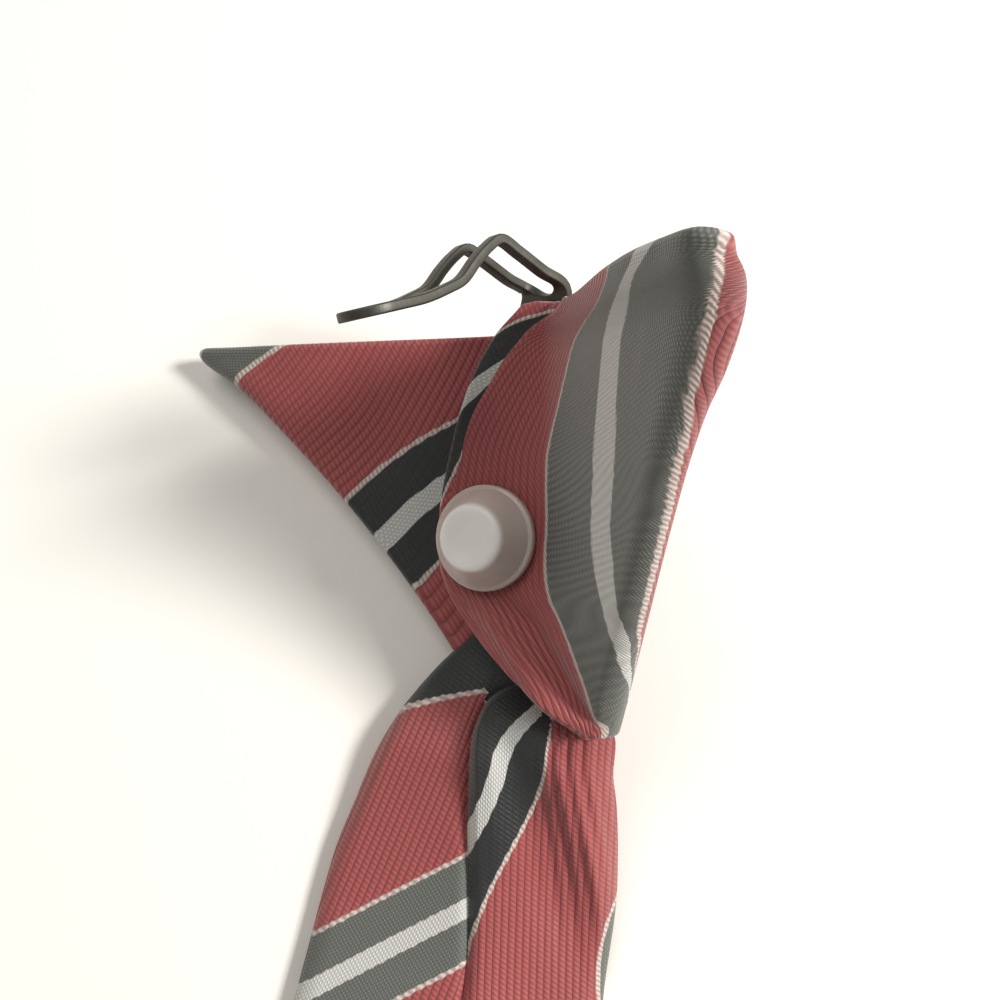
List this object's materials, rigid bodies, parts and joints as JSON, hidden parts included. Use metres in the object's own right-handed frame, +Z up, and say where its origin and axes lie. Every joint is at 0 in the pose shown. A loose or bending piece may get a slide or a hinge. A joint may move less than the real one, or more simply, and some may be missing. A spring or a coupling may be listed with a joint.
{
  "type": "clip-on necktie",
  "caption": "Ready-made knotted necktie with a striped blade, a bent steel collar clip behind the knot and a plastic button that pins it, lying face down",
  "frame": {"origin": "middle of the bottom of the box round the whole tie, on the surface that it lies on", "axes": "+Z up from the surface; the blade points along -Y and the knot is at the +Y end, with its back up and rolled towards -X"},
  "size_m": [0.0826, 0.4602, 0.0624],
  "materials": {
    "knot_cloth": "ribbed red weave with black, grey and white stripes",
    "blade_cloth": "ribbed red weave with black, grey and white stripes",
    "clip_steel": "dark satin",
    "button_plastic": "milky, slightly translucent"
  },
  "bodies": {
    "root": {"knot_band": "knot_cloth", "blade": "blade_cloth", "clip": "clip_steel", "button": "button_plastic"}
  },
  "joints": []
}
